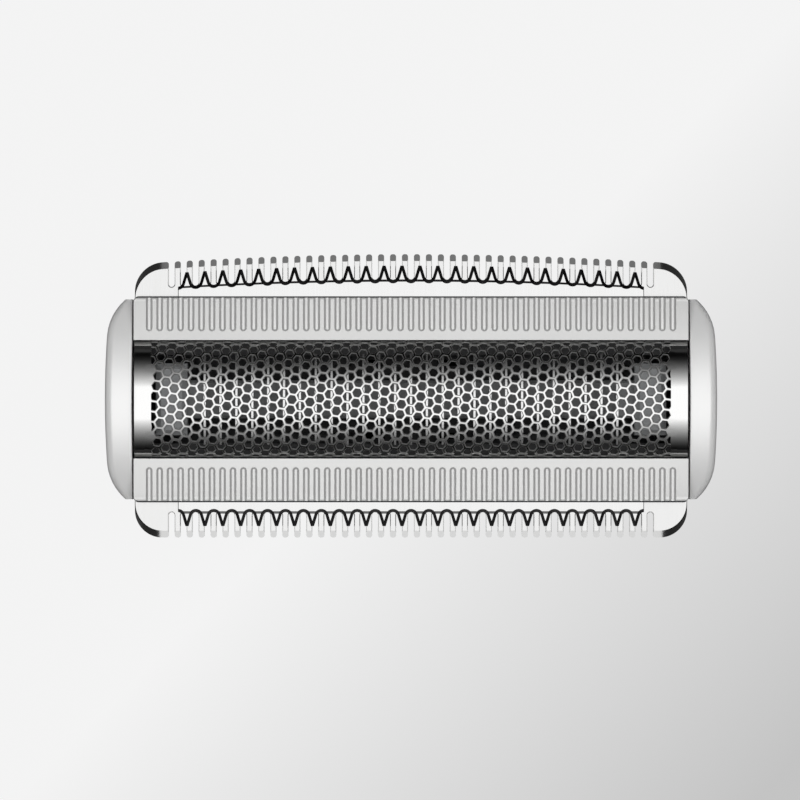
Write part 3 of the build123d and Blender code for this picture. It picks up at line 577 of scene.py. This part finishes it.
blade = {
    "tip": 1.09 * mm,  # behind the comb's tips
    "toothLength": 1.33 * mm,
    "pitch": 1.7 * mm,
    "gullets": 27,
    "rootRound": 0.4 * mm,
    "tipFlat": 0.3 * mm,
    "cutPast": 0.6 * mm,  # how far the gullets' cutter reaches past the tips
    "cutAbove": 0.05 * mm,
    "cutLean": 0.03 * mm,  # its walls lean this much through the strip
    "strip": {"rear": 0.13 * mm, "front": 0.08 * mm},  # how far the strip stands over the teeth
    "step": {"rear": (-0.17 * mm, 0.02 * mm), "front": (-0.09 * mm, 0.15 * mm)},  # its edge, from the roots
    "bevel": 0.29 * mm,
    "bevelDepth": 0.118 * mm,
    "end": 0.06 * mm,
    "sharp": 15,
}
bladeBottom = bladeLow.z
stripTop = bladeHigh.z
bladeBack = -bladeHigh.y
bladeTip = tipY - blade["tip"]
bladeRoot = bladeTip - blade["toothLength"]
mouth = (blade["pitch"] - blade["tipFlat"]) / 2
rootRound = blade["rootRound"]
# the flank runs from the round root to the mouth, as a tangent to the root's arc
centreToMouth = math.hypot(mouth, blade["toothLength"] - rootRound)
flankTurn = math.atan2(blade["toothLength"] - rootRound, mouth) - math.acos(rootRound / centreToMouth)


def gulletOutline(grow):
    rooted = arcPoints(0, rootRound, rootRound + grow, -90, math.degrees(flankTurn), 8)
    slope = math.tan(flankTurn)
    lastX, lastY = rooted[-1]
    far = blade["toothLength"] + blade["cutPast"]
    outline = rooted + [(lastX - (far - lastY) * slope, far)]
    return outline + [(-x, y) for x, y in reversed(outline) if x > 1e-9]


bm = bmesh.new()
fit = tongue["fit"]
addBox(bm, (-tongue["length"] / 2 - fit, tongue["y"] - tongue["width"] / 2 - fit, bladeBottom - mm),
       (tongue["length"] / 2 + fit, tongue["y"] + tongue["width"] / 2 + fit, stripTop + mm))
for x in (-tab["spacing"] / 2, tab["spacing"] / 2):
    reach = tab["length"] / 2 + tongue["stroke"] + tongue["room"]
    addBox(bm, (x - reach, tongue["y"] - tab["width"] / 2 - tongue["room"], bladeBottom - mm),
           (x + reach, tongue["y"] + tab["width"] / 2 + tongue["room"], stripTop + mm))
bladeWindows = hiddenObject(finishMesh(bm, "bladeWindows"))

for sideName, crown in comb["crown"].items():
    bladeTop = stripTop - blade["strip"][sideName]
    gulletCutter = hiddenObject(ringMesh("gulletCutter", [
        [(x, y, z) for x, y in gulletOutline(grow)] for grow, z in (
            (0, bladeBottom - mm), (0, bladeTop - blade["bevelDepth"]), (blade["bevel"], bladeTop),
            (blade["bevel"] + blade["cutLean"], stripTop + blade["cutAbove"]))]))
    stepStart, stepEnd = (bladeRoot + y for y in blade["step"][sideName])
    end = blade["end"]
    topLine = [(bladeTip, bladeTop), (stepEnd, bladeTop), (stepStart, stripTop), (bladeBack, stripTop)]
    bladeRings = ((-bladeHigh.x, end), (end - bladeHigh.x, 0), (bladeHigh.x - end, 0), (bladeHigh.x, end))
    bladeBlank = ringMesh("bladeBlank", [
        [(x, bladeBack, bladeBottom), (x, bladeTip, bladeBottom)] + [(x, y, z - low) for y, z in topLine]
        for x, low in bladeRings])
    plate = growMesh(sideName + "Blade", notchedPlate, {
        "Notch": gulletCutter, "Windows": bladeWindows, "Count": blade["gullets"], "Pitch": blade["pitch"],
        "Root": bladeRoot, "Crown": crown, "Crown Share": comb["crownShare"], "Crown Half": combHigh.x,
        "Back": bladeBack, "Material": bladeSteel,
    }, bladeBlank)
    bpy.data.objects.remove(gulletCutter)
    if sideName == "front":
        plate = mirrored(plate, (0, 1, 0))
    placePiece(sideName + "_cutting_blade", settle(plate, blade["sharp"]), "drive", "blade_steel",
               sideName + "_trimmer_blade")
print("trimmer blades made")

# Skin bars: a smooth body, a skirt, two feet and a row of raised ribs

bar = {
    "width": 4.14 * mm,
    "ribRise": 0.2 * mm,
    "fall": 0.4 * mm,
    "thickness": 0.75 * mm,
    "corner": 0.5 * mm,
    "skirtWall": 0.68 * mm,
    "skirtBottom": 18.4 * mm,
    "footLength": 3.4 * mm,
    "overlap": 0.05 * mm,  # of skirt and feet into the body
    "ribDrop": 0.0821 * mm,  # the bar falls this much to where the ribs stand full
    "edge": 0.05 * mm,
    "edgeAbove": 0.1 * mm,  # only edges this far over the underside are broken
    "chamfer": (0.13 * mm, 0.1 * mm),  # along the trimmer: its width, its drop
}
rib = {
    "count": 51,
    "pitch": 0.992 * mm,
    "width": 0.64 * mm,
    "setback": 0.8 * mm,
    "soft": 0.2 * mm,
    "inner": 0.1 * mm,  # height at the inner end
    "outer": 0.17 * mm,
    "flank": ((0, -0.1), (0, 0), (0.15, 0.09), (0.5, 0.5), (0.85, 0.91), (1.0, 1.0)),  # shares: soft, height
}
barInner = barLow.y
barOuter = barInner + bar["width"]
barHalf = barHigh.x
barTop = barHigh.z - bar["ribRise"] + bar["ribDrop"]
barUnder = barTop - bar["fall"] - bar["thickness"]


def barSurface(y):
    return barTop - bar["fall"] * (y - barInner) / bar["width"]


outline = [(-barHalf, barInner), (barHalf, barInner)]
outline += arcPoints(barHalf - bar["corner"], barOuter - bar["corner"], bar["corner"], 0, 90, 10)
outline += arcPoints(-barHalf + bar["corner"], barOuter - bar["corner"], bar["corner"], 90, 180, 10)
chamferWidth, chamferDrop = bar["chamfer"]
barBody = ringMesh("barBody", [
    [(x, y, barUnder) for x, y in outline],
    [(x, y, barSurface(y) - (chamferDrop if y > barInner else 0)) for x, y in outline],
    [(x, y - (chamferWidth if y > barInner else 0), barSurface(y)) for x, y in outline],
])


def ribHeight(y):  # the ribs stand out more towards the trimmer, where the bar falls away
    return rib["inner"] + (rib["outer"] - rib["inner"]) * (y - barInner) / bar["width"]


ribOutlines = []
for inset, rise in rib["flank"]:
    half = rib["width"] / 2 - inset * rib["soft"]
    inner = barInner + rib["setback"] + rib["width"] / 2
    ring = [(x, barOuter - chamferWidth) for x in (half, -half)] + arcPoints(0, inner, half, 180, 360, 10)
    ribOutlines.append([(x, y, barSurface(y) + rise * ribHeight(y)) for x, y in ring])
ribShape = hiddenObject(ringMesh("ribShape", ribOutlines))

tree, given = newTree("ribbedBar", {
    "Rib": "Object", "Count": "Int", "Pitch": "Float", "Material": "Material",
})
row = addRow(tree, given, {})
ribInfo = addNode(tree, "GeometryNodeObjectInfo", {"Object": given["Rib"]})
ribs = addNode(tree, "GeometryNodeInstanceOnPoints", {
    "Points": row.outputs[0], "Instance": ribInfo.outputs["Geometry"]})
both = addNode(tree, "GeometryNodeJoinGeometry", {0: ribs.outputs[0]})
tree.links.new(given["Geometry"], both.inputs[0])
real = addNode(tree, "GeometryNodeRealizeInstances", {0: both.outputs[0]})
dressed = addNode(tree, "GeometryNodeSetMaterial", {
    "Geometry": real.outputs[0], "Material": given["Material"]})
addNode(tree, "NodeGroupOutput", {0: dressed.outputs[0]})

bm = bmesh.new()
bm.from_mesh(barBody)
edges = [e for e in bm.edges if e.is_manifold and e.calc_face_angle(0) > math.radians(60)
         and min(v.co.z for v in e.verts) > barUnder + bar["edgeAbove"]]
bmesh.ops.bevel(bm, geom=edges, offset=bar["edge"], segments=3, profile=0.5, affect="EDGES")
joinZ = barUnder + bar["overlap"]
skirtY = barInner + bar["skirtWall"]
addBox(bm, (-barHalf, barInner, bar["skirtBottom"]), (barHalf, skirtY, joinZ))
for sign in (-1, 1):
    ends = sorted((sign * barHalf, sign * (barHalf - bar["footLength"])))
    addBox(bm, (ends[0], skirtY, combTop), (ends[1], barOuter - bar["corner"], joinZ))
barStart = finishMesh(bm, "barStart")
barMesh = growMesh("skinBar", tree, {
    "Rib": ribShape, "Count": rib["count"], "Pitch": rib["pitch"], "Material": paleSilver}, barStart)
barMesh.materials.append(frameAbs)
for face in barMesh.polygons:  # the chamfer towards the trimmer takes the charcoal frame plastic: a painted shadow line along the bar's outer edge
    if face.center.y > barOuter - chamferWidth and 0.6 < face.normal.z < 0.95:
        face.material_index = len(barMesh.materials) - 1
placePiece("rear_ribbed_bar", settle(barMesh), "housing", "cover_plastic", "rear_skin_bar")
placePiece("front_ribbed_bar", mirrored(barMesh, (0, 1, 0)), "housing", "cover_plastic", "front_skin_bar")
print("skin bars made")

# End covers: a crowned D-shaped cap lofted across the head

coverLow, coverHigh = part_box("right_end_cover")
cover = {
    "face": 26.42 * mm,
    "crownHalf": 6.0 * mm,
    "crownRise": 0.18 * mm,
    "side": 0.66 * mm,
    "fall": 2.7 * mm,
    "outerRound": 0.75 * mm,
    "innerRound": 0.12 * mm,
    "bottomRound": 0.4 * mm,
    "roundShare": (0.55, 0.4),  # of the depth, the most that outer and bottom rounds take
    "pocket": (6.0 * mm, 0.5 * mm, 1.3 * mm),  # half width, rim, depth of the hollow behind the face
    "tabPlaces": (-8.0 * mm, 8.0 * mm),
    "tabHalf": 0.8 * mm,
    "tabHeights": (11.7 * mm, 14.7 * mm),
    "tabReach": (-2.42 * mm, 0.1 * mm),  # from the face into the frame's posts, and into the cover
    "sections": 32,
    "sharp": 40,
}
coverHalf = coverHigh.y
coverReach = coverHigh.x - cover["face"]
crownRadius = (cover["crownHalf"] ** 2 + cover["crownRise"] ** 2) / (2 * cover["crownRise"])
topRadius = (coverHalf ** 2 + cover["fall"] ** 2) / (2 * cover["fall"])
# the shoulder is an arc that carries on from the crown's end to the side
crownTurn = math.asin(cover["crownHalf"] / crownRadius)
chordX = coverReach - cover["crownRise"] - cover["side"]
chordY = coverHalf - cover["crownHalf"]
chordInward = chordX * math.cos(crownTurn) - chordY * math.sin(crownTurn)
shoulderRadius = (chordX ** 2 + chordY ** 2) / (2 * chordInward)
shoulderX = coverReach - cover["crownRise"] - shoulderRadius * math.cos(crownTurn)
shoulderY = cover["crownHalf"] - shoulderRadius * math.sin(crownTurn)


def coverDepth(y):
    y = abs(y)
    if y <= cover["crownHalf"]:
        return coverReach - crownRadius + math.sqrt(crownRadius ** 2 - y ** 2)
    return shoulderX + math.sqrt(max(shoulderRadius ** 2 - (y - shoulderY) ** 2, 0))


def coverSection(y):
    depth = coverDepth(y)
    top = coverHigh.z - topRadius + math.sqrt(topRadius ** 2 - y ** 2)
    outer = min(cover["outerRound"], depth * cover["roundShare"][0])
    foot = min(cover["bottomRound"], depth * cover["roundShare"][1])
    inner = cover["innerRound"]
    points = [(0, coverLow.z), (0, top - inner)]
    points += arcPoints(inner, top - inner, inner, 180, 90, 4)
    points += arcPoints(depth - outer, top - outer, outer, 90, 0, 10)
    points += arcPoints(depth - foot, coverLow.z + foot, foot, 0, -90, 5)
    return [(cover["face"] + x, y, z) for x, z in points]


count = cover["sections"]
places = [math.sin(math.pi / 2 * (i / count * 2 - 1)) for i in range(count + 1)]  # closer towards the ends
coverMesh = ringMesh("cover", [coverSection(coverHalf * place) for place in places])
coverMesh.materials.append(satinSilver)
pocketHalf, pocketRim, pocketDepth = cover["pocket"]
bm = bmesh.new()
addBox(bm, (cover["face"] - mm, -pocketHalf, coverLow.z + pocketRim),
       (cover["face"] + pocketDepth, pocketHalf, coverHigh.z - cover["fall"] - pocketRim))
pocket = hiddenObject(finishMesh(bm, "pocket"))
coverMesh = growMesh("cover", notchedPlate, {
    "Windows": pocket, "Count": 0, "Material": satinSilver}, coverMesh)
bm = bmesh.new()
bm.from_mesh(coverMesh)
tabStart, tabStop = (cover["face"] + reach for reach in cover["tabReach"])
tabLow, tabHigh = cover["tabHeights"]
for y in cover["tabPlaces"]:
    addBox(bm, (tabStart, y - cover["tabHalf"], tabLow), (tabStop, y + cover["tabHalf"], tabHigh))
bm.to_mesh(coverMesh)
bm.free()
settle(coverMesh, cover["sharp"])
placePiece("right_cover_cap", coverMesh, "housing", "cover_plastic", "right_end_cover")
placePiece("left_cover_cap", mirrored(coverMesh, (1, 0, 0)), "housing", "cover_plastic", "left_end_cover")
print("end covers made")

for helper in (slotCutter, combWindow, bladeWindows, ribShape, pocket):
    bpy.data.objects.remove(helper)

# Carried-over CAD pieces

finishes = {
    "head_frame": frameAbs,
    "foil_frame": blackPom,
    "cutter_carrier": greyPom,
    "drive_bridge": darkPom,
}
for name, node in nodes.items():
    finish = finishes.get(name)
    if "spring" in name:
        finish = springSteel
    if "lamella" in name:
        finish = lamellaSteel
    if finish:
        node.data.materials.clear()
        node.data.materials.append(finish)
springs = {  # bent leaves: the body at their ends, then the body at their bend
    "left_foil_spring": ("housing", "foil_cassette", 0.2 * mm),  # the leaf's thickness last
    "right_foil_spring": ("housing", "foil_cassette", 0.2 * mm),
    "cutter_spring": ("drive", "cutter", 0.25 * mm),
}
for name, (endsBody, bendBody, thickness) in springs.items():
    bm = bmesh.new()
    bm.from_mesh(nodes[name].data)
    bmesh.ops.remove_doubles(bm, verts=bm.verts, dist=0.001 * mm)
    leafMesh = finishMesh(bm, name + "_leaf")
    leafMesh.materials.append(springSteel)
    leaf = bpy.data.objects.new(name + "_leaf", settle(leafMesh))
    bpy.context.scene.collection.objects.link(leaf)
    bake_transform(leaf)
    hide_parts(name)
print("CAD pieces finished")

# Studio: a pale floor that glows to the camera as painted light, a soft light straight above that fades
# towards the sides, camera straight down

ground = {
    "fade": (0.5 * mm, 72 * mm),  # painted light falloff of the floor's glow, from the middle towards the lower right
    "tones": ("#f4f4f4", "#c3c3c3"),
    "darkHalf": (21.5 * mm, 6.0 * mm),  # a painted contact shadow: no glow under the base, so that none comes up through the head
    "darkSoft": 1.5 * mm,
    "glow": (0.04, 0.98),  # on the part, to the camera
    "half": 1.5,
    "gap": 0.02 * mm,  # below the part
}
floorMaterial, tree, shader = newMaterial("pale_studio_floor")
place = addNode(tree, "ShaderNodeTexCoord").outputs["Object"]
spot = addNode(tree, "ShaderNodeSeparateXYZ", {0: place})
slant = addNode(tree, "ShaderNodeMath", {0: spot.outputs[0], 1: spot.outputs[1]}, operation="SUBTRACT")
fade = addNode(tree, "ShaderNodeMapRange", {
    "Value": slant.outputs[0], "From Min": ground["fade"][0], "From Max": ground["fade"][1]})
tones = [toLinear(tone) for tone in ground["tones"]]
wash = addNode(tree, "ShaderNodeMix", {0: fade.outputs[0], 6: tones[0], 7: tones[1]}, data_type="RGBA")
# the glow is masked off under the base: a painted contact shadow
clear = []
for axis, half in enumerate(ground["darkHalf"]):
    far = addNode(tree, "ShaderNodeMath", {0: spot.outputs[axis]}, operation="ABSOLUTE")
    clear.append(addNode(tree, "ShaderNodeMapRange", {
        "Value": far.outputs[0], "From Min": half, "From Max": half + ground["darkSoft"]}).outputs[0])
clear = addNode(tree, "ShaderNodeMath", {0: clear[0], 1: clear[1]}, operation="MAXIMUM")
seen = addNode(tree, "ShaderNodeLightPath")
glow = addNode(tree, "ShaderNodeMapRange", {
    "Value": seen.outputs["Is Camera Ray"], "To Min": ground["glow"][0], "To Max": ground["glow"][1]})
glow = addNode(tree, "ShaderNodeMath", {0: glow.outputs[0], 1: clear.outputs[0]}, operation="MULTIPLY")
tree.links.new(wash.outputs[2], shader.inputs["Emission Color"])
tree.links.new(glow.outputs[0], shader.inputs["Emission Strength"])
shader.inputs["Base Color"].default_value = toLinear("#202020")
shader.inputs["Roughness"].default_value = 0.9
shader.inputs["Specular IOR Level"].default_value = 0.0
bm = bmesh.new()
bmesh.ops.create_grid(bm, x_segments=1, y_segments=1, size=ground["half"])
floorMesh = bpy.data.meshes.new("studio_floor")
bm.to_mesh(floorMesh)
bm.free()
floorMesh.transform(Matrix.Translation((0, 0, cadBox[0][2] - ground["gap"])))
floorMesh.materials.append(floorMaterial)
floor = bpy.data.objects.new("studio_floor", floorMesh)
bpy.context.scene.collection.objects.link(floor)

studio = {
    "lean": 3.6,  # degrees that the light above leans to the front
    "above": (  # degrees from the light's middle, glow
        (0, 1.08), (15.6, 1.08), (19, 0.8), (23, 0.565), (27, 0.38), (31, 0.235), (35, 0.127), (39, 0.056),
        (43, 0.016), (47, 0.003), (50, 0.003), (51.5, 0.035), (56, 0.03), (60, 0.018), (90, 0.03)),
    "backdrop": 0.75,  # what the camera sees past the floor
    "fillSize": 0.7,
    "fillWatts": 3.8,
    "fillHeight": 0.6,
    "combGlow": {"rear": 0.2, "front": 0.85},  # how bright a low card makes each comb's tips
    "combSize": (1.2, 0.26),
    "combTurn": 72.0,  # degrees from straight above
    "walls": (  # pieces, glow, then height and headings of the cards in degrees
        ("frame", ("head_frame",), 5.0, 20.0, (45, 135, 225, 315)),
        ("cap", ("left_cover_cap", "right_cover_cap"), 1.9, 5.0, (0, 180)),
    ),
    "wallSize": (0.6, 0.5),
    "wallDistance": 0.8,
}
world = bpy.data.worlds.new("studio")
bpy.context.scene.world = world
world.use_nodes = True
tree = world.node_tree
tree.nodes.clear()
way = addNode(tree, "ShaderNodeTexCoord").outputs["Generated"]
leanRadians = math.radians(studio["lean"])
fromLight = addNode(tree, "ShaderNodeVectorMath", {
    0: way, 1: (0.0, -math.sin(leanRadians), math.cos(leanRadians))}, operation="DOT_PRODUCT")
turn = addNode(tree, "ShaderNodeMath", {0: fromLight.outputs["Value"]}, operation="ARCCOSINE")
turn = addNode(tree, "ShaderNodeMath", {0: turn.outputs[0], 1: math.pi / 2}, operation="DIVIDE")
above = addNode(tree, "ShaderNodeValToRGB", {0: turn.outputs[0]})
stops = above.color_ramp.elements
for i, (degrees, level) in enumerate(studio["above"]):
    stop = stops[i] if i < 2 else stops.new(degrees / 90)  # a new ramp has two
    stop.position = degrees / 90
    stop.color = (level, level, level, 1.0)
seen = addNode(tree, "ShaderNodeLightPath")
backdrop = addNode(tree, "ShaderNodeMix", {
    0: seen.outputs["Is Camera Ray"], 2: above.outputs[0], 3: studio["backdrop"]})
light = addNode(tree, "ShaderNodeBackground", {0: backdrop.outputs[0], 1: 1.0})
addNode(tree, "ShaderNodeOutputWorld", {0: light.outputs[0]})

fill = bpy.data.lights.new("soft_fill", "AREA")  # lifts the plastics, kept out of the metal's reflections
fill.shape = "DISK"
fill.size = studio["fillSize"]
fill.energy = studio["fillWatts"]
fillObject = bpy.data.objects.new("soft_fill", fill)
fillObject.location = (0, 0, studio["fillHeight"])
fillObject.visible_glossy = False
fillObject.visible_camera = False
bpy.context.scene.collection.objects.link(fillObject)


def litPieces(name, pieceNames):  # what a card lights
    lit = bpy.data.collections.new(name)
    for pieceName in pieceNames:
        lit.objects.link(bpy.data.objects[pieceName])
    return lit


def addCard(name, size, glow, toCard, roll, lit):  # faces the part, reaches the lit pieces alone
    card = bpy.data.lights.new(name, "AREA")
    card.shape = "RECTANGLE"
    card.size, card.size_y = size
    card.energy = glow * math.pi * card.size * card.size_y
    cardObject = bpy.data.objects.new(name, card)
    cardObject.location = toCard
    cardObject.rotation_euler = toCard.to_track_quat("Z", roll).to_euler()
    cardObject.visible_camera = False
    cardObject.light_linking.receiver_collection = lit
    bpy.context.scene.collection.objects.link(cardObject)
    return cardObject


cardTurn = math.radians(studio["combTurn"])
for sideName, glow in studio["combGlow"].items():  # a card low beside each comb
    toCard = Vector((0, math.sin(cardTurn) * (1 if sideName == "rear" else -1), math.cos(cardTurn)))
    lit = litPieces(sideName + "_trimmer", (sideName + "_comb_plate",))
    addCard(sideName + "_card", studio["combSize"], glow, toCard, "X", lit)
for sideName, pieceNames, glow, height, headings in studio["walls"]:  # walls that the top view doesn't show
    lit = litPieces(sideName + "_walls", pieceNames)
    level = math.radians(height)
    for heading in headings:
        turn = math.radians(heading)
        toCard = Vector((math.cos(level) * math.cos(turn), math.cos(level) * math.sin(turn), math.sin(level)))
        toCard *= studio["wallDistance"]
        wallCard = addCard(f"{sideName}_card_{heading}", studio["wallSize"], glow, toCard, "Y", lit)
        wallCard.visible_glossy = False

shot = {
    "pixels": 800,
    "perPixel": 0.09477 * mm,
    "centre": (411.0, 399.3),  # where the part's middle sits in the picture
    "height": 1.2,
    "level": 24.0 * mm,  # where the scale is true
    "sensor": 36.0,
}
camera = bpy.data.cameras.new("shot")
camera.sensor_width = shot["sensor"]
camera.lens = shot["sensor"] * (shot["height"] - shot["level"]) / (shot["pixels"] * shot["perPixel"])
camera.clip_end = 10.0
cameraObject = bpy.data.objects.new("shot", camera)
shiftX = (shot["pixels"] / 2 - shot["centre"][0]) * shot["perPixel"]
shiftY = (shot["centre"][1] - shot["pixels"] / 2) * shot["perPixel"]
cameraObject.location = (shiftX, shiftY, shot["height"])
bpy.context.scene.collection.objects.link(cameraObject)
bpy.context.scene.camera = cameraObject
bpy.context.scene.view_settings.view_transform = "Standard"
print("studio set")
